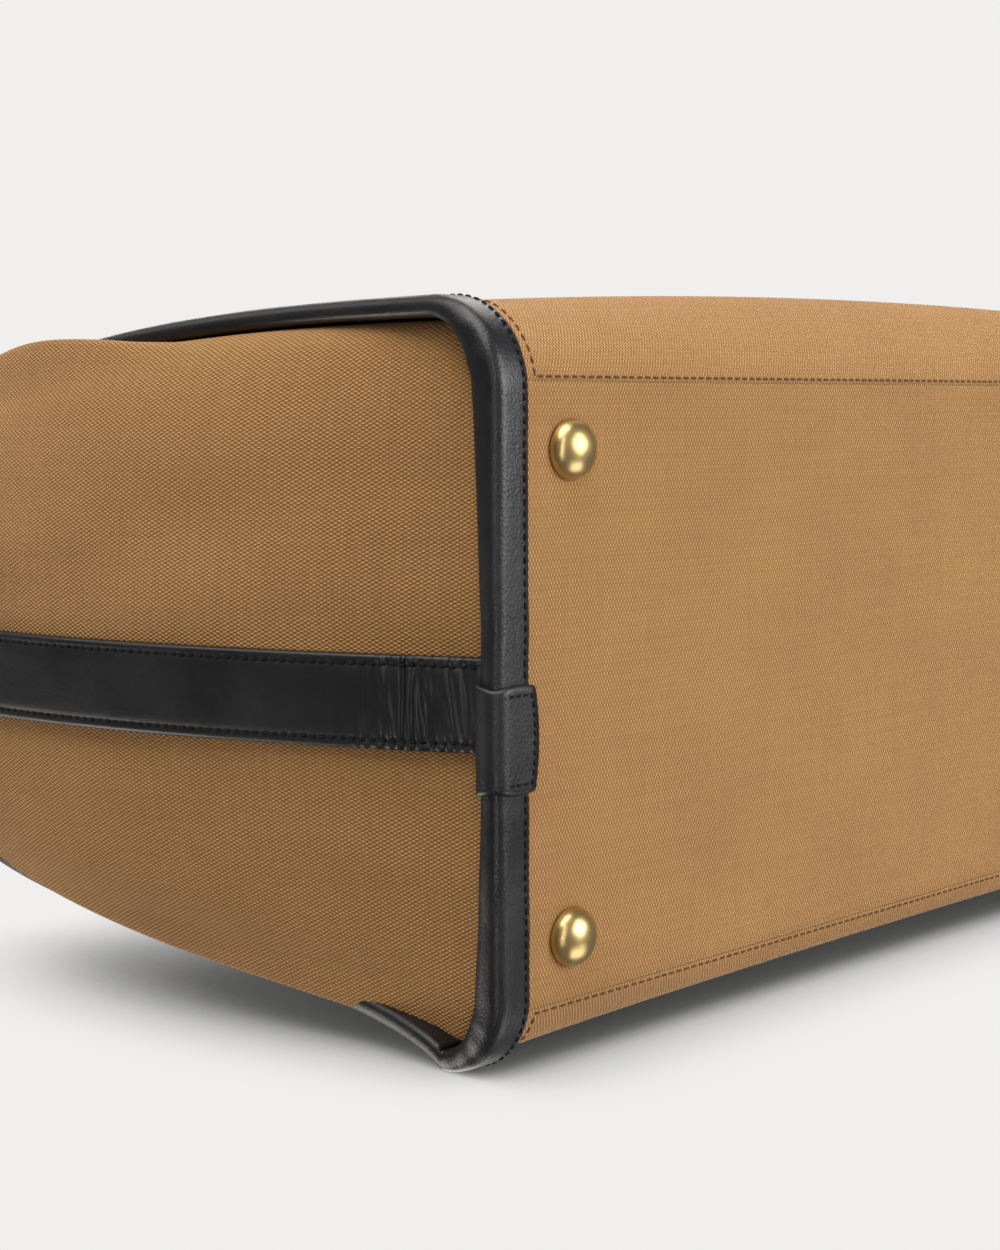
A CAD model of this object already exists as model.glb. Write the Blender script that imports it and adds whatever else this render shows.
"""Looks of the canvas doctor bag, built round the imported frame.

Metres, +Z up, X along the bag, -Y its front. The bag stands on its feet. The picture is
taken from below one end, as if the bag lay on its back on a pale table.
"""

import math
import random

import bmesh
import bpy
from mathutils import Matrix, Vector, noise


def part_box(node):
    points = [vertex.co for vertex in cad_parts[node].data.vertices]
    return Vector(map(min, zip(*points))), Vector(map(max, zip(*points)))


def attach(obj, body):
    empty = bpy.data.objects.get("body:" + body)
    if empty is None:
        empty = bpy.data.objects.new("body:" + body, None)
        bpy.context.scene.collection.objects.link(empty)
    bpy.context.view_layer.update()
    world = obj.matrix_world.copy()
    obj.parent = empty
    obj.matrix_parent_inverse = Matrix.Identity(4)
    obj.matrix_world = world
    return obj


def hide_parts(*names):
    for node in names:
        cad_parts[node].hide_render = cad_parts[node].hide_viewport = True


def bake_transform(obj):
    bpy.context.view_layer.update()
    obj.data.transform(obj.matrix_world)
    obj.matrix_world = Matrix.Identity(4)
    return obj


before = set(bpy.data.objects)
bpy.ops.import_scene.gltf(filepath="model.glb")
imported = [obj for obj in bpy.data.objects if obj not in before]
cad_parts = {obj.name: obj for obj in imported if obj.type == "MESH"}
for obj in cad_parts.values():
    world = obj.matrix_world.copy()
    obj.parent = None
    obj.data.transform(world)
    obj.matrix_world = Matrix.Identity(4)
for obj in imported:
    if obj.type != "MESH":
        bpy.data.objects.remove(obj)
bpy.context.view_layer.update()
random.seed(7)

# Sizes read from the frame
FOOT_LOW, FOOT_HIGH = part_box("foot_front_left")
STRAP_LOW, STRAP_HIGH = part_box("gusset_strap_right")
TAB_LOW, TAB_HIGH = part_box("keeper_tab_right")
BASE_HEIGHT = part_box("base_panel")[0].z

# The body's outline in Y and Z, from the end of the base's round corner to the rail, as the
# points of a cubic curve: -1 is the front and 1 the back. The filled bag leans to its front.
CORNER_RADIUS = {-1: 0.0225, 1: 0.0200}
SIDE_CURVE = {
    -1: ((0.1015, 0.0285), (0.1010, 0.080), (0.1045, 0.264), (0.0120, 0.2757)),
    1: ((0.0965, 0.0260), (0.0740, 0.055), (0.0890, 0.262), (0.0120, 0.2757)),
}
BASE_HALF_LENGTH = 0.205
TOP_FLARE = 0.020
CANVAS = 0.0024
GUSSET_CANVAS = 0.0018
GUSSET_GAP = 0.0004
GUSSET_LOW, GUSSET_HIGH = 0.0090, 0.2600
RECESS = 0.013

# The end gusset: its middle line in X and Z, below and above the fold
GUSSET_CURVE = ((0.192, 0.009), (0.226, 0.075), (0.2475, 0.140), (0.2425, 0.196))
FOLD_CURVE = ((0.2425, 0.196), (0.2400, 0.206), (0.2260, 0.216), (0.2150, 0.229))

# How square the pillow is across, and how far it swells over the binding at its edges:
# the heights where the swelling starts, is full, starts to fade and ends, and its reach
PILLOW_POWER = 0.22
OVERHANG = {-1: (0.100, 0.185, 0.200, 0.245, 0.0120), 1: (0.010, 0.055, 0.060, 0.260, 0.0078)}

# The lean of the filled bag's middle, and the stitch line between the base and a big panel
SLUMP = 0.0065
SEAM_DEPTH = 0.0812
SEAM_MARGIN = 0.04

# Leather
BINDING_WIDTH = 0.0125
BINDING_PROUD = 0.0018
BINDING_INSIDE = 0.0045
BINDING_CORNER_INSIDE = 0.0082
BINDING_SIDE_INSIDE = 0.0036
BINDING_CROWN = 0.00025
BINDING_SEAM = 0.0021
BINDING_ROUND = 0.0042
BINDING_ROUND_IN = 0.0034
ROUND_SHARE = 0.52
ROUND_SHARE_IN = 0.38
STRAP_HALF_WIDTH = 0.0125
STRAP_MIDDLE = (STRAP_LOW.y + STRAP_HIGH.y) / 2
STRAP_THICKNESS = 0.0028
STRAP_ROUND = 0.0011
STRAP_SEAM = 0.0025
STRAP_FOOT = 0.0105
CREASES_END = 0.060
TAB_MIDDLE = (TAB_LOW.y + TAB_HIGH.y) / 2
TAB_HALF_HEIGHT = 0.0136
TAB_THICKNESS = 0.0014
TAB_ROUND = 0.0009
TAB_ROWS = 27
TAB_REACH = BINDING_WIDTH + 0.0002

# Inside: the lining hangs a little off the canvas, and lies on the board at its floor
LINING = 0.0006
LINING_GAP = 0.0022
FLOOR_HEIGHT = 0.0086
POCKET = 0.0012
POCKET_GAP = 0.0036
POCKET_HALF_WIDTH = 0.085

# Sewing: a stitch fills part of its pitch, and dives into the cloth at both ends. Its profile
# is (place along it, thickness, rise) in shares of its half length and its radius.
BLACK_PITCH = 0.0029
BLACK_RADIUS = 0.0004
BROWN_PITCH = 0.0032
BROWN_RADIUS = 0.00036
TAB_PITCH = 0.0024
TAB_RADIUS = 0.00038
STITCH_FILL = 0.78
STITCH_SIDES = 6
STITCH_PROFILE = (
    (-1.0, 0.35, -0.9),
    (-0.72, 0.95, -0.1),
    (0.0, 1.0, 0.25),
    (0.72, 0.95, -0.1),
    (1.0, 0.35, -0.9),
)

# Weave: yarn pitches along the two directions of the cloth
FINE_PITCH = 0.000567
COARSE_PITCH = 0.00106

# Stage
PALE = (0.871, 0.863, 0.847)
STAGE_SIZE = 3.0
TABLE_DEPTH = 0.0990
FLOOR_SHADOW = 0.07
TABLE_SHADOW = 0.050

# Light colours
SOFT_WHITE = (1.0, 0.98, 0.95)
WHITE = (1.0, 1.0, 1.0)
WARM = (1.0, 0.93, 0.83)
WARM_PALE = (1.0, 0.94, 0.86)

# Camera: its turn from +X toward +Z, its dip toward +Y, its roll, its place and its lens
TURN = math.radians(44.6)
DIP = math.radians(5.8)
ROLL = math.radians(-0.25)
CAMERA_PLACE = Vector((-0.5778, -0.0741, -0.3651))
LENS = 60.93


# ---------------------------------------------------------------- materials

class Tree:
    """Short calls for building a material's nodes."""

    def __init__(self, name):
        self.material = bpy.data.materials.new(name)
        self.material.use_nodes = True
        self.nodes = self.material.node_tree.nodes
        self.links = self.material.node_tree.links
        self.shader = self.nodes["Principled BSDF"]

    def add(self, kind, settings=None, **inputs):
        node = self.nodes.new(kind)
        for key, value in (settings or {}).items():
            setattr(node, key, value)
        for key, value in inputs.items():
            self.put(node, key.replace("_", " "), value)
        return node

    def put(self, node, key, value):
        socket = node.inputs[int(key)] if key.isdigit() else node.inputs[key]
        if isinstance(value, bpy.types.NodeSocket):
            self.links.new(value, socket)
        else:
            socket.default_value = value

    def math(self, operation, first, second=0.0):
        node = self.add("ShaderNodeMath", {"operation": operation})
        self.put(node, "0", first)
        self.put(node, "1", second)
        return node.outputs[0]

    def noise(self, scale, detail=2.0, vector=None, roughness=0.5):
        node = self.add("ShaderNodeTexNoise", Scale=scale, Detail=detail, Roughness=roughness)
        if vector is None:
            vector = self.add("ShaderNodeTexCoord").outputs["Object"]
        self.links.new(vector, node.inputs["Vector"])
        return node.outputs["Fac"]

    def ramp(self, value, stops):
        node = self.add("ShaderNodeValToRGB", Fac=value)
        ramp = node.color_ramp
        while len(ramp.elements) < len(stops):
            ramp.elements.new(0.5)
        for element, (place, colour) in zip(ramp.elements, stops):
            element.position = place
            element.color = (*colour, 1.0) if isinstance(colour, tuple) else (colour,) * 3 + (1.0,)
        return node.outputs["Color"]

    def mix(self, share, first, second, blend="MIX"):
        node = self.add("ShaderNodeMix", {"data_type": "RGBA", "blend_type": blend})
        for key, value in (("0", share), ("6", first), ("7", second)):
            if isinstance(value, tuple):
                value = (*value, 1.0)
            self.put(node, key, value)
        return node.outputs[2]

    def bump(self, height, distance, normal=None):
        node = self.add("ShaderNodeBump", Strength=1.0, Distance=distance, Height=height)
        if normal is not None:
            self.links.new(normal, node.inputs["Normal"])
        return node.outputs["Normal"]

    def finish(self, colour, roughness, normal=None, **fixed):
        self.put(self.shader, "Base Color", colour if not isinstance(colour, tuple) else (*colour, 1.0))
        self.put(self.shader, "Roughness", roughness)
        if normal is not None:
            self.links.new(normal, self.shader.inputs["Normal"])
        for key, value in fixed.items():
            self.shader.inputs[key.replace("_", " ")].default_value = value
        return self.material


def weave_height(tree, fine, coarse):
    """Height of a plain weave, 0 to 1, and the cloth's own coordinates in metres it comes from."""
    uv = tree.add("ShaderNodeUVMap", {"uv_map": "cloth"}).outputs["UV"]
    axes = tree.add("ShaderNodeSeparateXYZ", Vector=uv)
    drift = tree.noise(90.0, 2.0, uv)
    slow = tree.noise(14.0, 1.0, uv)
    shift = tree.math("MULTIPLY", tree.math("SUBTRACT", drift, 0.5), fine * 0.9)
    sway = tree.math("MULTIPLY", tree.math("SUBTRACT", slow, 0.5), coarse * 2.2)
    u = tree.math("ADD", axes.outputs["X"], shift)
    v = tree.math("ADD", axes.outputs["Y"], sway)
    wave_u = tree.math("COSINE", tree.math("MULTIPLY", u, math.pi / fine))
    wave_v = tree.math("COSINE", tree.math("MULTIPLY", v, math.pi / coarse))
    both = tree.math("MULTIPLY", wave_u, wave_v)
    lifted = tree.math("MULTIPLY_ADD", both, 0.5)
    lifted.node.inputs[2].default_value = 0.5
    height = tree.ramp(lifted, ((0.0, 0.06), (0.5, 0.30), (1.0, 1.0)))
    return uv, height


def canvas_material(name):
    """Heavy plain-weave canvas: bright yarn crowns, dark gaps, hairy and slightly uneven."""
    tree = Tree(name)
    uv, height = weave_height(tree, FINE_PITCH, COARSE_PITCH)
    fibre = tree.noise(2600.0, 2.0, uv)
    rough_height = tree.math("ADD", height, tree.math("MULTIPLY", fibre, 0.28))
    stretch = tree.add("ShaderNodeMapping", Vector=uv)
    stretch.inputs["Scale"].default_value = (18.0, 940.0, 1.0)
    rows = tree.noise(1.0, 1.0, stretch.outputs["Vector"])
    cross = tree.add("ShaderNodeMapping", Vector=uv)
    cross.inputs["Scale"].default_value = (1700.0, 22.0, 1.0)
    columns = tree.noise(1.0, 1.0, cross.outputs["Vector"])
    cloud = tree.noise(22.0, 3.0)
    dark = (0.170, 0.077, 0.0235)
    middle = (0.385, 0.200, 0.071)
    light = (0.620, 0.362, 0.150)
    colour = tree.ramp(height, ((0.0, dark), (0.45, middle), (1.0, light)))
    yarn = tree.math("ADD", tree.math("MULTIPLY", rows, 0.5), tree.math("MULTIPLY", columns, 0.5))
    shade = tree.ramp(yarn, ((0.25, 0.90), (0.75, 1.09)))
    colour = tree.mix(1.0, colour, shade, "MULTIPLY")
    blotch = tree.ramp(cloud, ((0.25, 0.93), (0.75, 1.06)))
    colour = tree.mix(1.0, colour, blotch, "MULTIPLY")
    normal = tree.bump(rough_height, 0.00036)
    return tree.finish(
        colour, 0.92, normal, Sheen_Weight=0.08, Sheen_Roughness=0.5, Specular_IOR_Level=0.18
    )


def leather_material(name, colour=(0.0055, 0.0055, 0.0072), pebble=1.0, roughness=0.38):
    """Smooth dark leather with fine pores, a soft shine and a few scuffs."""
    tree = Tree(name)
    place = tree.add("ShaderNodeTexCoord").outputs["Object"]
    cells = tree.add(
        "ShaderNodeTexVoronoi", {"feature": "F1"}, Vector=place, Scale=1250.0, Randomness=1.0
    ).outputs["Distance"]
    fine = tree.noise(2400.0, 2.0, place)
    waves = tree.noise(160.0, 3.0, place)
    scuff = tree.noise(45.0, 4.0, place, 0.6)
    grain = tree.math("ADD", tree.math("MULTIPLY", cells, -0.55), tree.math("MULTIPLY", fine, 0.45))
    normal = tree.bump(grain, 0.00010 * pebble)
    normal = tree.bump(waves, 0.00012, normal)
    lighter = tuple(c * 1.5 + 0.001 for c in colour)
    tone = tree.ramp(scuff, ((0.35, colour), (0.75, lighter)))
    gloss = tree.ramp(scuff, ((0.3, roughness - 0.05), (0.7, roughness + 0.10)))
    return tree.finish(
        tone, gloss, normal, Specular_IOR_Level=0.45, Coat_Weight=0.04, Coat_Roughness=0.25
    )


def brass_material(name):
    """Satin brass with faint polish marks and a little darkening."""
    tree = Tree(name)
    place = tree.add("ShaderNodeTexCoord").outputs["Object"]
    tarnish = tree.noise(130.0, 4.0, place, 0.6)
    streaks = tree.add("ShaderNodeMapping", Vector=place)
    streaks.inputs["Scale"].default_value = (300.0, 300.0, 2600.0)
    polish = tree.noise(1.0, 2.0, streaks.outputs["Vector"])
    colour = tree.ramp(tarnish, ((0.30, (0.50, 0.345, 0.135)), (0.62, (0.66, 0.49, 0.225))))
    gloss = tree.ramp(tarnish, ((0.3, 0.38), (0.7, 0.26)))
    normal = tree.bump(polish, 0.000015)
    return tree.finish(colour, gloss, normal, Metallic=1.0)


def steel_material(name):
    """Dull nickelled steel with uneven gloss."""
    tree = Tree(name)
    marks = tree.noise(420.0, 3.0)
    gloss = tree.ramp(marks, ((0.3, 0.30), (0.7, 0.44)))
    normal = tree.bump(marks, 0.00002)
    return tree.finish((0.50, 0.49, 0.47), gloss, normal, Metallic=1.0)


def thread_material(name, colour):
    """Waxed thread with a twist."""
    tree = Tree(name)
    twist = tree.add(
        "ShaderNodeTexWave", {"bands_direction": "DIAGONAL"}, Scale=900.0, Distortion=1.0
    )
    place = tree.add("ShaderNodeTexCoord").outputs["Object"]
    tree.links.new(place, twist.inputs["Vector"])
    dark = tuple(c * 0.6 for c in colour)
    tone = tree.ramp(twist.outputs["Fac"], ((0.2, dark), (0.8, colour)))
    normal = tree.bump(twist.outputs["Fac"], 0.00006)
    return tree.finish(tone, 0.7, normal, Specular_IOR_Level=0.2)


def lining_material(name):
    """Brown cotton twill for the inside."""
    tree = Tree(name)
    uv = tree.add("ShaderNodeUVMap", {"uv_map": "cloth"}).outputs["UV"]
    axes = tree.add("ShaderNodeSeparateXYZ", Vector=uv)
    both = tree.math("ADD", axes.outputs["X"], axes.outputs["Y"])
    wave = tree.math("SINE", tree.math("MULTIPLY", both, 2 * math.pi / 0.0011))
    fibre = tree.noise(1500.0, 2.0, uv)
    height = tree.math("ADD", tree.math("MULTIPLY", wave, 0.5), fibre)
    cloud = tree.noise(30.0, 3.0)
    tone = tree.ramp(cloud, ((0.3, (0.155, 0.098, 0.058)), (0.7, (0.215, 0.142, 0.088))))
    normal = tree.bump(height, 0.00012)
    return tree.finish(tone, 0.9, normal, Sheen_Weight=0.2)


def board_material(name):
    """Brown fibreboard."""
    tree = Tree(name)
    fibre = tree.noise(700.0, 4.0)
    tone = tree.ramp(fibre, ((0.3, (0.070, 0.045, 0.028)), (0.7, (0.135, 0.092, 0.060))))
    normal = tree.bump(fibre, 0.0002)
    return tree.finish(tone, 0.85, normal)


CANVAS_LOOK = canvas_material("canvas")
LINING_LOOK = lining_material("lining")
LEATHER_LOOK = leather_material("leather")
STRAP_LOOK = leather_material("strap_leather", (0.0050, 0.0050, 0.0064), 0.5, 0.42)
BRASS_LOOK = brass_material("brass")
STEEL_LOOK = steel_material("steel")
BOARD_LOOK = board_material("board")
BLACK_THREAD = thread_material("black_thread", (0.0035, 0.0035, 0.0042))
BROWN_THREAD = thread_material("brown_thread", (0.135, 0.062, 0.026))


# ---------------------------------------------------------------- shape of the body

def cubic(points, t):
    """Place and direction on a cubic curve, t from 0 to 1."""
    a, b, c, d = (Vector(p) for p in points)
    s = 1 - t
    place = s**3 * a + 3 * s * s * t * b + 3 * s * t * t * c + t**3 * d
    slope = s * s * (b - a) + 2 * s * t * (c - b) + t * t * (d - c)
    return place, slope.normalized()


def outline(side, t, inset=0.0):
    """Depth and height on the body: 0 to 1 along the base, 1 to 2 round the corner, 2 to 3 up."""
    radius = CORNER_RADIUS[side]
    flat = SIDE_CURVE[side][0][0] - radius
    if t <= 1:
        return Vector((flat * t, BASE_HEIGHT + inset))
    if t <= 2:
        angle = (t - 1) * math.pi / 2
        reach = radius - inset
        return Vector(
            (flat + reach * math.sin(angle), BASE_HEIGHT + radius - reach * math.cos(angle))
        )
    place, along = cubic(SIDE_CURVE[side], t - 2)
    if t == 2:
        along = Vector((0.0, 1.0))
    return Vector((place.x - inset * along.y, place.y + inset * along.x))


def turn_at(side, z):
    """Where the outline of one side reaches a height."""
    low, high = 1.0, 3.0
    for _ in range(30):
        middle = (low + high) / 2
        if outline(side, middle).y < z:
            low = middle
        else:
            high = middle
    return low


def smooth_step(low, high, value):
    share = min(max((value - low) / (high - low), 0.0), 1.0)
    return share * share * (3 - 2 * share)


def edge_x(z):
    """Where the bound end of the body is along X: it flares toward the top."""
    return BASE_HALF_LENGTH + TOP_FLARE * smooth_step(0.04, 0.23, z)


def spread(low, high, count):
    return [low + (high - low) * i / (count - 1) for i in range(count)]


def curve_x(points, z):
    """X at a height on a curve of X and Z."""
    low, high = 0.0, 1.0
    for _ in range(30):
        middle = (low + high) / 2
        if cubic(points, middle)[0].y < z:
            low = middle
        else:
            high = middle
    return cubic(points, low)[0].x


def gusset_middle(z):
    """X of the gusset's middle line at a height."""
    if z <= GUSSET_CURVE[-1][1]:
        return curve_x(GUSSET_CURVE, max(z, GUSSET_CURVE[0][1]))
    if z <= FOLD_CURVE[-1][1]:
        return curve_x(FOLD_CURVE, z)
    return FOLD_CURVE[-1][0]


def binding_inside(t):
    """How far the folded leather reaches in from the canvas: thickest at the base's corners."""
    if t <= 1:
        return BINDING_INSIDE + (BINDING_CORNER_INSIDE - BINDING_INSIDE) * t**1.5
    thinning = smooth_step(1.25, 2.05, t)
    return BINDING_CORNER_INSIDE + (BINDING_SIDE_INSIDE - BINDING_CORNER_INSIDE) * thinning


def gusset_point(side, share, z):
    """Outer face of the end panel: a full pillow that spreads over the binding higher up."""
    turn = turn_at(side, z)
    depth = outline(side, turn, binding_inside(turn) + GUSSET_GAP).x
    edge = edge_x(z) - RECESS
    x = edge + (gusset_middle(z) - edge) * max(1 - share * share, 0.0) ** PILLOW_POWER
    start, full, fade, end, reach = OVERHANG[side]
    high = smooth_step(start, full, z) * (1 - smooth_step(fade, end, z))
    near_edge = math.exp(-(((share - 0.965) / 0.030) ** 2)) * min((1 - share) / 0.02, 1.0)
    return x, share * depth + reach * high * near_edge


def soft(point, scale, amount):
    """A smooth bump from -amount to amount, the same each run."""
    return amount * noise.noise(Vector(point) * scale)


# ---------------------------------------------------------------- mesh helpers

def add_mesh(name, bm, looks):
    mesh = bpy.data.meshes.new(name)
    bm.to_mesh(mesh)
    bm.free()
    for look in looks:
        mesh.materials.append(look)
    thing = bpy.data.objects.new(name, mesh)
    bpy.context.scene.collection.objects.link(thing)
    return thing


def make_object(name, bm, look):
    """A smooth closed piece that faces out."""
    bmesh.ops.recalc_face_normals(bm, faces=bm.faces)
    thing = add_mesh(name, bm, [look])
    thing.data.shade_smooth()
    return thing


def cloth(name, outer, cloth_uv, thickness, outer_look=None):
    """A sheet through a grid of points, in canvas outside and lining inside unless told."""
    rows, columns = len(outer), len(outer[0])
    bm = bmesh.new()
    layer = bm.loops.layers.uv.new("cloth")
    points = [[bm.verts.new(p) for p in row] for row in outer]
    for r in range(rows - 1):
        for c in range(columns - 1):
            places = ((r, c), (r, c + 1), (r + 1, c + 1), (r + 1, c))
            face = bm.faces.new([points[i][j] for i, j in places])
            for loop, (i, j) in zip(face.loops, places):
                loop[layer].uv = cloth_uv[i][j]
    thing = add_mesh(name, bm, [outer_look or CANVAS_LOOK, LINING_LOOK])
    thing.data.shade_smooth()
    solid = thing.modifiers.new("solidify", "SOLIDIFY")
    solid.thickness = thickness
    solid.offset = -1.0
    solid.material_offset = 1
    return thing


def join_rings(bm, rings):
    """A closed skin through rings of points, with a face over each end."""
    loops = [[bm.verts.new(p) for p in ring] for ring in rings]
    count = len(loops[0])
    for first, second in zip(loops, loops[1:]):
        for i in range(count):
            j = (i + 1) % count
            bm.faces.new((first[i], first[j], second[j], second[i]))
    bm.faces.new(loops[0])
    bm.faces.new(loops[-1])


def skin(name, rings, look):
    bm = bmesh.new()
    join_rings(bm, rings)
    return make_object(name, bm, look)


def ring_round(centre, radius, first, second, count):
    """Points of a circle in the plane of two directions at right angles."""
    turns = [2 * math.pi * i / count for i in range(count)]
    return [centre + radius * (math.cos(a) * first + math.sin(a) * second) for a in turns]


def stitches(name, path, lift, pitch, look, radius):
    """A row of sewn stitches along a path of (point, outward normal) pairs."""
    bm = bmesh.new()
    lengths = [0.0]
    for (a, _), (b, _) in zip(path, path[1:]):
        lengths.append(lengths[-1] + (b - a).length)
    total = lengths[-1]
    count = max(int(total / pitch), 1)

    def at(distance):
        i = 0
        while i < len(lengths) - 2 and lengths[i + 1] < distance:
            i += 1
        span = max(lengths[i + 1] - lengths[i], 1e-9)
        share = min(max((distance - lengths[i]) / span, 0.0), 1.0)
        point = path[i][0].lerp(path[i + 1][0], share)
        normal = path[i][1].lerp(path[i + 1][1], share).normalized()
        return point, normal, (path[i + 1][0] - path[i][0]).normalized()

    for k in range(count):
        middle = (k + 0.5) * total / count
        point, normal, along = at(middle)
        side = along.cross(normal).normalized()
        tilt = random.uniform(-0.05, 0.05)
        along = (along * math.cos(tilt) + side * math.sin(tilt)).normalized()
        side = along.cross(normal).normalized()
        rings = []
        for place, share, rise in STITCH_PROFILE:
            centre = point + along * pitch * STITCH_FILL / 2 * place + normal * (lift + radius * rise)
            rings.append(ring_round(centre, radius * share, side, normal, STITCH_SIDES))
        join_rings(bm, rings)
    return make_object(name, bm, look)


def to_frame(piece):
    """Lets a piece bend from the standing bag to the frame half on its side."""
    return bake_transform(piece)


# ---------------------------------------------------------------- canvas

def slump(x, z):
    """How far the middle of the filled bag leans forward of its stiff bound ends."""
    rise = smooth_step(0.0070, 0.0240, z) * (1 - smooth_step(0.190, 0.255, z))
    return SLUMP * (1 - min(abs(x) / BASE_HALF_LENGTH, 1.0) ** 2) * rise


def wrap_surface(side, t, x, inset=0.0):
    """A point of the body canvas, with the gentle unevenness of stuffed cloth."""
    place = outline(side, t)
    away = outline(side, t, -1.0) - place
    z = place.y
    ripple = soft((x, place.x * side, z), 9.0, 0.0012) * min(max((z - 0.02) / 0.05, 0.0), 1.0)
    point = place + away * (ripple - inset)
    return Vector((x, side * point.x - slump(x, z), point.y))


def wrap_normal(side, t):
    """The direction out of the body canvas."""
    away = outline(side, t, -1.0) - outline(side, t)
    return Vector((0, side * away.x, away.y))


def seam_turn(side):
    """Where the line of stitches between the base and a big panel lies on the outline."""
    low, high = 1.0, 2.0
    for _ in range(30):
        middle = (low + high) / 2
        if outline(side, middle).x < SEAM_DEPTH:
            low = middle
        else:
            high = middle
    return low


def wrap_grid(stations, columns):
    """Points and cloth coordinates over (side, turn, length) stations of the outline."""
    grid, cloth_uv = [], []
    for side, t, length in stations:
        half = edge_x(outline(side, t).y) - 0.0012
        xs = spread(half, -half, columns)
        grid.append([wrap_surface(side, t, x) for x in xs])
        cloth_uv.append([(x, length) for x in xs])
    return grid, cloth_uv


def stations_up(side, turns):
    """Stations from the base's centre line outwards, with the length of cloth to each."""
    stations = []
    length = 0.0
    before = outline(side, 0.0)
    for t in turns:
        here = outline(side, t)
        length += (here - before).length
        before = here
        stations.append((side, t, side * length))
    return stations


def body_canvas():
    """The base panel between its two stitch lines, and the big panels that rise to the frame."""
    low = {side: spread(0.0, 1.0, 12)[:-1] + spread(1.0, seam_turn(side), 8) for side in (-1, 1)}
    base = list(reversed(stations_up(-1, low[-1]))) + stations_up(1, low[1])[1:]
    grid, cloth_uv = wrap_grid(base, 41)
    piece = cloth("canvas_base", grid, cloth_uv, CANVAS)
    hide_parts("base_panel")
    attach(piece, "bag")
    for label, side in (("front", -1), ("back", 1)):
        turns = low[side] + spread(seam_turn(side), 2.0, 18)[1:-1] + spread(2.0, 3.0, 60)
        stations = stations_up(side, turns)[len(low[side]) - 1:]
        if side < 0:
            stations = list(reversed(stations))
        grid, cloth_uv = wrap_grid(stations, 81)
        piece = cloth(f"canvas_{label}", grid, cloth_uv, CANVAS)
        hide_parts(f"{label}_panel", f"{label}_yoke")
        to_frame(piece)


def gusset_surface(end, side, share, z):
    """A point of an end panel, with a few soft puckers."""
    x, y = gusset_point(side, share, z)
    pucker = soft((side * share * 2, z * 9, end), 2.4, 0.0016) * (1 - share * share)
    return Vector((end * (x + pucker), side * y, z))


def gussets():
    """The end panels, each in two halves so that one follows each half of the frame."""
    heights = spread(GUSSET_LOW, GUSSET_HIGH, 84)
    for label, end in (("left", -1), ("right", 1)):
        for half_label, side in (("front", -1), ("back", 1)):
            shares = [1 - (1 - s) ** 2 for s in spread(0.0, 1.0, 44)]
            grid, cloth_uv = [], []
            lengths = [0.0]
            middles = [gusset_surface(end, side, 0.0, z) for z in heights]
            for a, b in zip(middles, middles[1:]):
                lengths.append(lengths[-1] + (b - a).length)
            for z, length in zip(heights, lengths):
                row = [gusset_surface(end, side, s, z) for s in shares]
                across = [0.0]
                for a, b in zip(row, row[1:]):
                    across.append(across[-1] + math.hypot(b.y - a.y, b.x - a.x))
                grid.append(row)
                cloth_uv.append([(side * u, length) for u in across])
            if side * end < 0:
                grid = [list(reversed(row)) for row in grid]
                cloth_uv = [list(reversed(row)) for row in cloth_uv]
            piece = cloth(f"gusset_{label}_{half_label}", grid, cloth_uv, GUSSET_CANVAS)
            if side < 0:
                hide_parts(f"gusset_{label}", f"gusset_fold_{label}")
            to_frame(piece)


# ---------------------------------------------------------------- inside

def lining_sheets():
    """A thin brown lining in two halves, each down a wall and along half of the floor."""
    inset = CANVAS + LINING_GAP
    for label, side in (("front", -1), ("back", 1)):
        grid, cloth_uv = [], []
        turns = spread(0.0, 1.0, 6)[:-1] + spread(1.0, 2.0, 9)[:-1] + spread(2.0, 2.90, 32)
        for t in turns:
            half = edge_x(outline(side, t).y) - RECESS - 0.003
            xs = spread(half, -half, 41)
            row = [wrap_surface(side, t, x, inset) for x in xs]
            for point in row:
                point.z = max(point.z, BASE_HEIGHT + FLOOR_HEIGHT)
            grid.append(row)
            cloth_uv.append([(p.x, p.y + p.z) for p in row])
        if side < 0:
            grid, cloth_uv = list(reversed(grid)), list(reversed(cloth_uv))
        piece = cloth(f"lining_{label}", grid, cloth_uv, LINING, LINING_LOOK)
        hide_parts("lining")
        to_frame(piece)


def pocket():
    """A slip pocket sewn to the back of the lining, a little open at its mouth."""
    half = POCKET_HALF_WIDTH
    grid, cloth_uv = [], []
    for row, t in enumerate(spread(2.17, 2.50, 20)):
        open_up = 0.0025 * (row / 19) ** 2
        line = []
        for x in spread(half, -half, 30):
            gape = open_up * (1 - (x / half) ** 2) + soft((x * 3, t, 4.0), 9.0, 0.0004)
            line.append(wrap_surface(1, t, x, CANVAS + POCKET_GAP + gape))
        grid.append(line)
        cloth_uv.append([(p.x, p.z) for p in line])
    piece = cloth("pocket", grid, cloth_uv, POCKET, LINING_LOOK)
    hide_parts("inner_pocket")
    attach(piece, "bag")


# ---------------------------------------------------------------- leather trim

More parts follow.
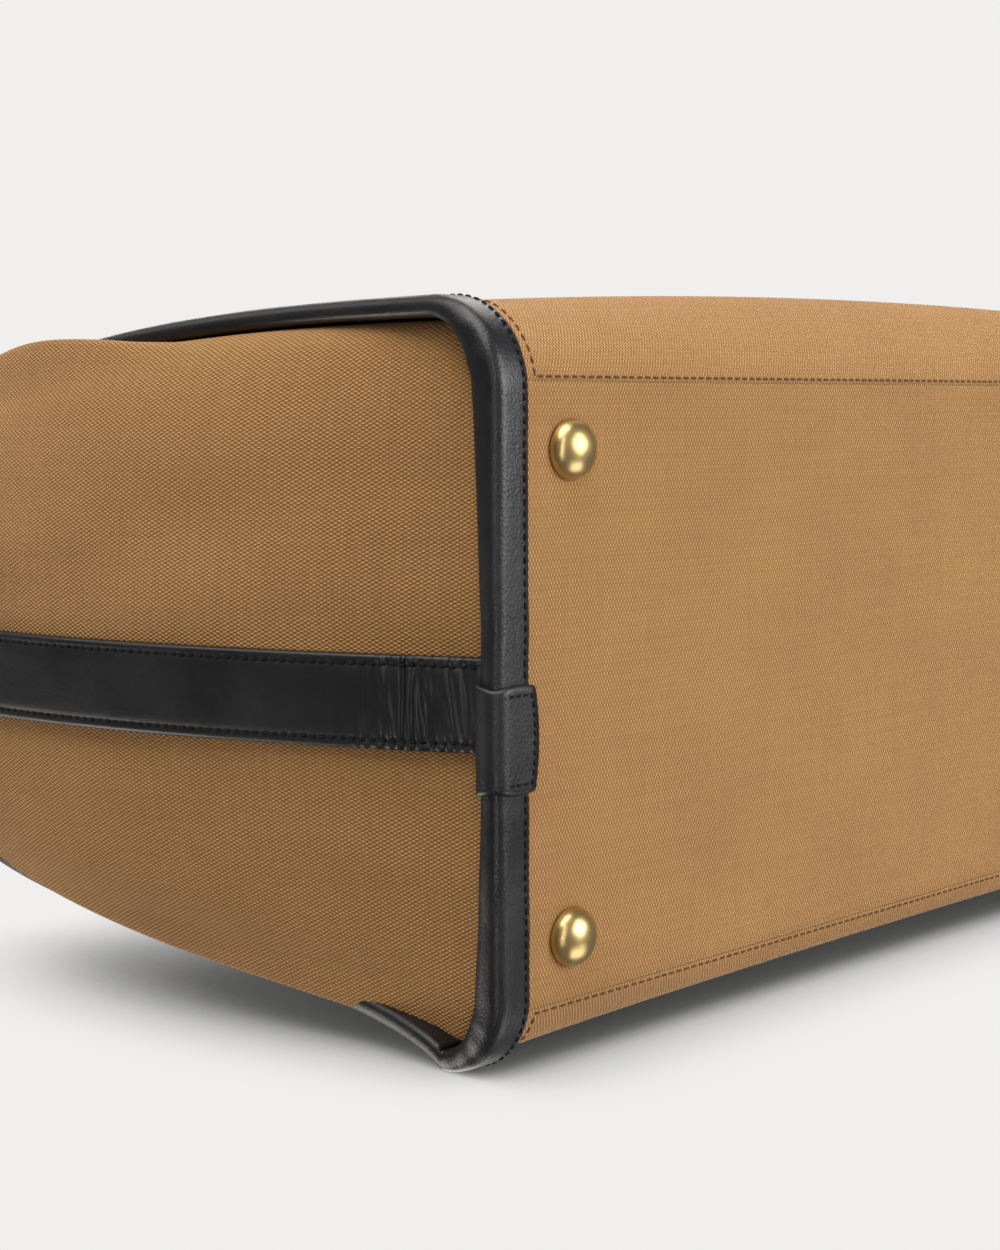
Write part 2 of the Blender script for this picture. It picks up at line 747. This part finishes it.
def binding_section(inside):
    """Cross-section of the folded leather: (distance in from the edge, depth under the canvas)."""
    outside = -BINDING_PROUD
    thickness = inside - outside
    round_out = min(BINDING_ROUND, ROUND_SHARE * thickness)
    round_in = min(BINDING_ROUND_IN, ROUND_SHARE_IN * thickness)
    crown = outside - BINDING_CROWN
    section = [
        (BINDING_WIDTH, 0.0004),
        (BINDING_WIDTH, outside * 0.72),
        (BINDING_WIDTH - 0.0005, outside),
    ]
    section += [(b, crown) for b in spread(BINDING_WIDTH - 0.002, round_out, 4)]
    for i in range(1, 8):
        angle = math.pi / 2 * i / 8
        back = round_out * (1 - math.sin(angle))
        section.append((back, crown + round_out * (1 - math.cos(angle))))
    section.append((0.0, inside - 0.43 * thickness))
    for i in range(1, 6):
        angle = math.pi / 2 * i / 6
        section.append((round_in * (1 - math.cos(angle)), inside - round_in * (1 - math.sin(angle))))
    section += [(b, inside) for b in spread(round_in, RECESS + 0.002, 4)]
    section += [(RECESS + 0.002, CANVAS - 0.0002), (0.006, CANVAS - 0.0002), (0.006, 0.0004)]
    return section


def binding_point(end, side, t, back, inset):
    """A point of the leather: back from the bound end, and inset from the canvas."""
    place = outline(side, t, inset)
    x = edge_x(outline(side, t).y) - back
    return Vector((end * x, side * place.x, place.y))


def trim_turns():
    """Where the binding's sections lie along the outline."""
    return spread(0.0, 1.0, 26)[:-1] + spread(1.0, 2.0, 28)[:-1] + spread(2.0, 2.985, 70)


def bindings():
    """Leather folded over the ends of the body canvas, with its row of stitches."""
    for label, end in (("left", -1), ("right", 1)):
        for half_label, side in (("front", -1), ("back", 1)):
            rings = []
            path = []
            for t in trim_turns():
                wobble = soft((end, side * t * 3.0, 1.0), 2.0, 0.00035)
                section = binding_section(binding_inside(t))
                rings.append([binding_point(end, side, t, b + wobble, i) for b, i in section])
                back = BINDING_WIDTH - BINDING_SEAM + wobble
                line = binding_point(end, side, t, back, -BINDING_PROUD)
                above = binding_point(end, side, t, back, -BINDING_PROUD - 1.0)
                path.append((line, (above - line).normalized()))
            piece = skin(f"binding_{label}_{half_label}", rings, LEATHER_LOOK)
            if side < 0:
                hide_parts(f"binding_{label}")
            to_frame(piece)
            name = f"binding_stitches_{label}_{half_label}"
            sewing = stitches(name, path, 0.00025, BLACK_PITCH, BLACK_THREAD, BLACK_RADIUS)
            to_frame(sewing)


def panel_seams():
    """Brown thread round each big panel, along the base and up beside the bindings."""
    inset = BINDING_WIDTH + 0.0042
    for label, side in (("front", -1), ("back", 1)):
        path = []
        top = 2.93
        seam = seam_turn(side) + SEAM_MARGIN
        for end, turns in ((-1, spread(top, seam, 90)), (1, spread(seam, top, 90))):
            for t in turns:
                x = end * (edge_x(outline(side, t).y) - inset)
                path.append((wrap_surface(side, t, x), wrap_normal(side, t)))
            if end < 0:
                half = edge_x(outline(side, seam).y) - inset
                for x in spread(-half, half, 120)[1:-1]:
                    path.append((wrap_surface(side, seam, x), wrap_normal(side, seam)))
        sewing = stitches(f"panel_stitches_{label}", path, 0.0, BROWN_PITCH, BROWN_THREAD, BROWN_RADIUS)
        to_frame(sewing)


def strap_point(end, y, z, lift):
    """A point of the strap, lifted off the gusset's middle line."""
    slope = (gusset_middle(z + 0.002) - gusset_middle(z - 0.002)) / 0.004
    out = Vector((1.0, 0.0, -slope)).normalized()
    base = Vector((gusset_middle(z) + 0.0006, STRAP_MIDDLE + y, z))
    point = base + out * lift
    point.x *= end
    return point


def strap_crease(y, z):
    """Creases across the strap where it bends in behind the binding."""
    low = STRAP_LOW.z
    strength = math.exp(-(((z - low - 0.018) / 0.013) ** 2))
    fold = noise.noise(Vector((z * 360.0, y * 45.0 + z * 70.0, 3.0)))
    sharp = min(abs(fold) * 3.0, 1.0)
    return strength * (0.0012 * sharp - 0.0011)


def strap_section():
    """Cross-section of the strap: rounded edges, a groove along each seam and a fuller middle."""
    half, thick = STRAP_HALF_WIDTH, STRAP_THICKNESS
    edge = [(-half, 0.0), (-half, thick * 0.45)]
    for i in range(1, 5):
        angle = math.pi / 2 * i / 4
        y = -half + STRAP_ROUND * (1 - math.cos(angle))
        edge.append((y, thick - STRAP_ROUND * (1 - math.sin(angle))))
    edge += [
        (-half + STRAP_SEAM - 0.0006, thick),
        (-half + STRAP_SEAM, thick - 0.00028),
        (-half + STRAP_SEAM + 0.0006, thick),
    ]
    middle = [(y, thick + 0.0002) for y in spread(-half + 0.0045, half - 0.0045, 9)]
    return edge + middle + [(-y, lift) for y, lift in reversed(edge)]


def gusset_straps():
    """The leather strap up the middle of each gusset, sewn along both edges."""
    half, thick = STRAP_HALF_WIDTH, STRAP_THICKNESS
    across = strap_section()
    for label, end in (("left", -1), ("right", 1)):
        rings = []
        creased = spread(STRAP_FOOT, CREASES_END, 130)[:-1]
        plain = spread(CREASES_END, STRAP_HIGH.z - 0.001, 90)
        for z in creased + plain:
            ring = []
            for y, lift in across:
                dip = strap_crease(y, z) if lift > thick * 0.5 else 0.0
                ring.append(strap_point(end, y, z, lift + dip))
            rings.append(ring)
        piece = skin(f"strap_{label}", rings, STRAP_LOOK)
        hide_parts(f"gusset_strap_{label}")
        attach(piece, "bag")
        for line_label, y in (("front", -half + STRAP_SEAM), ("back", half - STRAP_SEAM)):
            path = []
            for z in spread(STRAP_FOOT + 0.0015, STRAP_HIGH.z - 0.003, 160):
                point = strap_point(end, y, z, thick + strap_crease(y, z))
                above = strap_point(end, y, z, thick + 1.0)
                path.append((point, (above - point).normalized()))
            name = f"strap_stitches_{label}_{line_label}"
            sewing = stitches(name, path, -0.0001, BLACK_PITCH, BLACK_THREAD, BLACK_RADIUS)
            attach(sewing, "bag")


def tab_route(lift):
    """Section of the keeper tab from the base side, over the binding's edge, to the gusset side."""
    outside = -BINDING_PROUD - BINDING_CROWN - lift
    inside = BINDING_INSIDE + 0.0003 + lift
    round_out = ROUND_SHARE * (BINDING_INSIDE + BINDING_PROUD)
    round_in = ROUND_SHARE_IN * (BINDING_INSIDE + BINDING_PROUD)
    corner = round_out + lift
    route = [(b, outside) for b in spread(TAB_REACH, round_out, 7)]
    for i in range(1, 9):
        angle = math.pi / 2 * i / 8
        route.append(
            (round_out - corner * math.sin(angle), outside + corner * (1 - math.cos(angle)))
        )
    for i in range(1, 7):
        angle = math.pi / 2 * i / 6
        turn = round_in + lift
        back = round_in - turn * math.cos(angle)
        route.append((back, inside - turn * (1 - math.sin(angle))))
    route += [(b, inside) for b in spread(0.0045, RECESS - 0.001, 4)]
    return route


def tab_point(end, y, back, inset):
    """A point of the keeper tab, back from the bound end and inset from the base."""
    return Vector((end * (BASE_HALF_LENGTH - back), TAB_MIDDLE + y, BASE_HEIGHT + inset))


def tab_layer(bm, end, thick):
    """One face of the tab: rows across it, each along its route over the binding."""
    grid = []
    for y in spread(-TAB_HALF_HEIGHT, TAB_HALF_HEIGHT, TAB_ROWS):
        share_out = y / TAB_HALF_HEIGHT
        edge = max(0.0, (abs(y) - TAB_HALF_HEIGHT + TAB_ROUND) / TAB_ROUND)
        sink = 0.0004 * edge * edge if thick == TAB_THICKNESS else 0.0
        line = []
        for k, (back, inset) in enumerate(tab_route(thick)):
            bulge = 0.0014 * (1 - share_out**2) * max(0.0, 1 - k / 7.0)
            lean = 0.0006 * math.sin(k * 0.45) * share_out
            line.append(bm.verts.new(tab_point(end, y + lean, back + bulge, inset + sink)))
        grid.append(line)
    return grid


def tab_seam(end):
    """The stitch line along the tab's two long edges and its end on the base."""
    half, margin = TAB_HALF_HEIGHT, 0.0022
    near, far = 0.0030, TAB_REACH - 0.0014
    lift = -BINDING_PROUD - BINDING_CROWN - TAB_THICKNESS
    places = [(-half + margin, back) for back in spread(near, far, 12)]
    for y in spread(-half + margin, half - margin, 20)[1:-1]:
        places.append((y, far + 0.0012 * (1 - (y / half) ** 2)))
    places += [(half - margin, back) for back in spread(far, near, 12)]
    return [(tab_point(end, y, back, lift), Vector((0, 0, -1))) for y, back in places]


def keeper_tabs():
    """A leather tab folded over each binding, holding down the strap's end."""
    for label, end in (("left", -1), ("right", 1)):
        bm = bmesh.new()
        layers = [tab_layer(bm, end, thick) for thick in (0.00005, TAB_THICKNESS)]
        for grid in layers:
            for row, above in zip(grid, grid[1:]):
                for c in range(len(row) - 1):
                    bm.faces.new((row[c], row[c + 1], above[c + 1], above[c]))
        rims = [[grid[0] for grid in layers], [grid[-1] for grid in layers]]
        rims += [[[row[c] for row in grid] for grid in layers] for c in (0, -1)]
        for lower, upper in rims:
            for c in range(len(lower) - 1):
                bm.faces.new((lower[c], lower[c + 1], upper[c + 1], upper[c]))
        piece = make_object(f"tab_{label}", bm, LEATHER_LOOK)
        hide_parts(f"keeper_tab_{label}")
        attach(piece, "bag")
        name = f"tab_stitches_{label}"
        sewing = stitches(name, tab_seam(end), 0.0, TAB_PITCH, BLACK_THREAD, TAB_RADIUS)
        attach(sewing, "bag")


def cover_seams():
    """Black thread along the lower edge of the leather over each rail, broken at the fittings."""
    fittings = [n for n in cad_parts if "lug" in n or n in ("lock_plate", "hasp_mount")]
    gap = 0.0015
    for label, side in (("front", -1), ("back", 1)):
        low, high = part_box(f"frame_cover_{label}")
        depth = low.y if side < 0 else high.y
        outward = Vector((0, side, 0))
        blocked = sorted(
            (a.x - gap, b.x + gap) for a, b in map(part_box, fittings) if side * (a.y + b.y) > 0
        )
        start = low.x + 0.003
        for k, (left, right) in enumerate(blocked + [(high.x - 0.003, high.x)]):
            if left - start > 0.01:
                xs = spread(start, left, 20)
                path = [(Vector((x, depth, low.z + 0.0020)), outward) for x in xs]
                name = f"cover_stitches_{label}_{k}"
                sewing = stitches(name, path, 0.0001, BLACK_PITCH, BLACK_THREAD, BLACK_RADIUS)
                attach(sewing, f"{label}_frame")
            start = max(start, right)


# ---------------------------------------------------------------- feet

def feet():
    """Domed brass feet with a short straight rim and a shank through the base."""
    radius = (FOOT_HIGH.x - FOOT_LOW.x) / 2 + 0.0005
    height = BASE_HEIGHT - 0.0002
    for depth_label in ("front", "back"):
        for end_label in ("left", "right"):
            label = f"{depth_label}_{end_label}"
            low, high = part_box(f"foot_{label}")
            x, y = (low.x + high.x) / 2, (low.y + high.y) / 2
            steps = [(0.0, 0.00002)]
            for i in range(1, 23):
                angle = math.pi / 2 * i / 24
                steps.append((height * 0.93 * (1 - math.cos(angle)), radius * 0.985 * math.sin(angle)))
            steps += [(height * 0.90, radius), (height * 0.97, radius), (height, radius * 0.97)]
            steps += [(height, radius * 0.3), (high.z - 0.0003, radius * 0.3)]
            along, across = Vector((1, 0, 0)), Vector((0, 1, 0))
            rings = [ring_round(Vector((x, y, z)), r, along, across, 64) for z, r in steps]
            piece = skin(f"dome_{label}", rings, BRASS_LOOK)
            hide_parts(f"foot_{label}")
            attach(piece, "bag")


# ---------------------------------------------------------------- stage, light and camera

def add_shadow_proxy(bm):
    """A coarse copy of the bag that only the stage planes feel, so that they darken near it."""
    grids = []
    for side in (-1, 1):
        rows = []
        for t in spread(0.0, 1.0, 3)[:-1] + spread(1.0, 2.0, 8)[:-1] + spread(2.0, 3.0, 16):
            half = edge_x(outline(side, t).y)
            xs = spread(-half + 0.002, half - 0.002, 12)
            rows.append([wrap_surface(side, t, x, 0.0012) for x in xs])
        grids.append(rows)
        for end in (-1, 1):
            shares = [1 - (1 - s) ** 2 for s in spread(0.0, 1.0, 14)]
            inward = Vector((-end * 0.0010, 0, 0))
            heights = spread(GUSSET_LOW, 0.25, 24)
            grids.append(
                [[gusset_surface(end, side, s, z) + inward for s in shares] for z in heights]
            )
    for rows in grids:
        points = [[bm.verts.new(p) for p in row] for row in rows]
        for r in range(len(points) - 1):
            for c in range(len(points[0]) - 1):
                face = bm.faces.new(
                    (points[r][c], points[r][c + 1], points[r + 1][c + 1], points[r + 1][c])
                )
                face.material_index = 1


def clear_look():
    """A material that lets everything through, for the shadow proxy."""
    tree = Tree("clear")
    clear = tree.add("ShaderNodeBsdfTransparent")
    tree.links.new(clear.outputs[0], tree.nodes["Material Output"].inputs["Surface"])
    tree.nodes.remove(tree.shader)
    return tree.material


def stage_plane(name, corners, reach):
    """A pale plane that only the camera sees, from its front, darkened where the bag is close."""
    bm = bmesh.new()
    bm.faces.new([bm.verts.new(p) for p in corners])
    add_shadow_proxy(bm)
    tree = Tree(name)
    closeness = tree.add(
        "ShaderNodeAmbientOcclusion", {"samples": 32, "only_local": True}, Distance=reach
    )
    shade = tree.ramp(
        closeness.outputs["AO"],
        ((0.0, 0.02), (0.28, 0.12), (0.45, 0.40), (0.60, 0.72), (0.78, 0.93), (0.92, 1.0)),
    )
    colour = tree.mix(1.0, PALE, shade, "MULTIPLY")
    glow = tree.add("ShaderNodeEmission", Color=colour)
    clear = tree.add("ShaderNodeBsdfTransparent")
    back = tree.add("ShaderNodeNewGeometry").outputs["Backfacing"]
    seen = tree.add("ShaderNodeLightPath").outputs["Is Camera Ray"]
    shown = tree.math("MULTIPLY", seen, tree.math("SUBTRACT", 1.0, back))
    mix = tree.add("ShaderNodeMixShader")
    tree.put(mix, "0", shown)
    tree.links.new(clear.outputs[0], mix.inputs[1])
    tree.links.new(glow.outputs[0], mix.inputs[2])
    output = tree.nodes["Material Output"]
    tree.links.new(mix.outputs[0], output.inputs["Surface"])
    tree.nodes.remove(tree.shader)
    add_mesh(name, bm, [tree.material, clear_look()])


def make_stage():
    """A floor under the feet, and the table that the bag's back lies on."""
    corners = [(x * STAGE_SIZE, y * STAGE_SIZE) for x, y in ((-1, -1), (1, -1), (1, 1), (-1, 1))]
    stage_plane("floor", [(x, y, 0) for x, y in corners], FLOOR_SHADOW)
    stage_plane("table", [(x, TABLE_DEPTH, z) for x, z in corners], TABLE_SHADOW)


def make_world():
    """Soft light from all round, and the pale backdrop for the camera."""
    world = bpy.data.worlds.new("studio")
    world.use_nodes = True
    bpy.context.scene.world = world
    nodes, links = world.node_tree.nodes, world.node_tree.links
    light = nodes["Background"]
    light.inputs["Color"].default_value = (1.0, 0.985, 0.965, 1.0)
    light.inputs["Strength"].default_value = 0.17
    seen = nodes.new("ShaderNodeBackground")
    seen.inputs["Color"].default_value = (*PALE, 1.0)
    path = nodes.new("ShaderNodeLightPath")
    mix = nodes.new("ShaderNodeMixShader")
    links.new(path.outputs["Is Camera Ray"], mix.inputs[0])
    links.new(light.outputs[0], mix.inputs[1])
    links.new(seen.outputs[0], mix.inputs[2])
    links.new(mix.outputs[0], nodes["World Output"].inputs["Surface"])


def area_light(name, place, target, size, power, colour=SOFT_WHITE):
    """A rectangular light aimed at a point, with its power in watts."""
    data = bpy.data.lights.new(name, "AREA")
    data.shape = "RECTANGLE"
    data.size, data.size_y = size
    data.energy = power
    data.color = colour
    lamp = bpy.data.objects.new(name, data)
    lamp.location = place
    direction = Vector(target) - Vector(place)
    lamp.rotation_euler = direction.to_track_quat("-Z", "Y").to_euler()
    bpy.context.scene.collection.objects.link(lamp)


def make_camera():
    """Below and beyond the left end, with the bag's front as the top of the picture."""
    view = Vector((math.cos(DIP) * math.cos(TURN), math.sin(DIP), math.cos(DIP) * math.sin(TURN)))
    right = view.cross(Vector((0, -1, 0))).normalized()
    up = right.cross(view)
    right, up = (
        math.cos(ROLL) * right + math.sin(ROLL) * up,
        -math.sin(ROLL) * right + math.cos(ROLL) * up,
    )
    data = bpy.data.cameras.new("camera")
    data.lens = LENS
    data.sensor_width = 36.0
    data.clip_start = 0.01
    camera = bpy.data.objects.new("camera", data)
    rotation = Matrix((right, up, -view)).transposed().to_4x4()
    camera.matrix_world = Matrix.Translation(CAMERA_PLACE) @ rotation
    bpy.context.scene.collection.objects.link(camera)
    bpy.context.scene.camera = camera


def make_lights():
    """Large soft lights: above the bag's front, under its base, at its left end and behind."""
    area_light("top_soft", (-0.6, -1.35, -0.1), (-0.05, 0.0, 0.08), (1.2, 1.0), 21.0)
    area_light("base_soft", (0.35, -0.35, -1.15), (-0.05, 0.0, 0.0), (0.8, 0.8), 16.5, WHITE)
    area_light("table_bounce", (0.3, 1.0, -0.9), (0.0, 0.0, 0.0), (1.0, 0.8), 6.0)
    area_light("corner_soft", (-0.95, -0.15, -0.72), (-0.2, 0.0, 0.0), (1.5, 0.10), 3.2)
    area_light("end_soft", (-0.95, -1.05, 0.75), (-0.25, 0.0, 0.14), (0.9, 0.8), 6.0, WARM)
    area_light("end_low", (-0.85, 0.95, 0.95), (-0.25, 0.0, 0.14), (0.9, 0.8), 11.5, WARM_PALE)
    area_light("crown_soft", (0.5, -0.4, 1.5), (0.0, 0.0, 0.2), (1.2, 1.0), 14.0)
    area_light("front_soft", (0.9, -1.2, 0.7), (0.0, 0.0, 0.12), (1.0, 1.0), 9.0)
    area_light("back_soft", (0.4, 1.5, 0.9), (0.0, 0.0, 0.12), (1.2, 1.0), 12.0)


def keep_frame_parts():
    """Frame parts whose shape is final get their finish."""
    looks = (
        (("frame_front", "frame_back"), STEEL_LOOK),
        (("frame_cover_front", "frame_cover_back", "handle_front", "handle_back"), LEATHER_LOOK),
        (("base_board",), BOARD_LOOK),
        (("ring_chape_left", "ring_chape_right"), LEATHER_LOOK),
    )
    for names, look in looks:
        for name in names:
            give_look(name, look)
    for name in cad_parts:
        if "lug" in name or "pin" in name or name in ("hasp", "hasp_mount", "lock_plate", "turn_knob"):
            give_look(name, BRASS_LOOK)
        if name.startswith("end_ring"):
            give_look(name, BRASS_LOOK)
        if "washer" in name:
            give_look(name, STEEL_LOOK)


def give_look(name, look):
    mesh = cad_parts[name].data
    mesh.materials.clear()
    mesh.materials.append(look)


bpy.context.scene.view_settings.view_transform = "Standard"
make_world()
make_camera()
make_lights()
make_stage()
body_canvas()
gussets()
lining_sheets()
pocket()
bindings()
panel_seams()
gusset_straps()
keeper_tabs()
cover_seams()
feet()
keep_frame_parts()
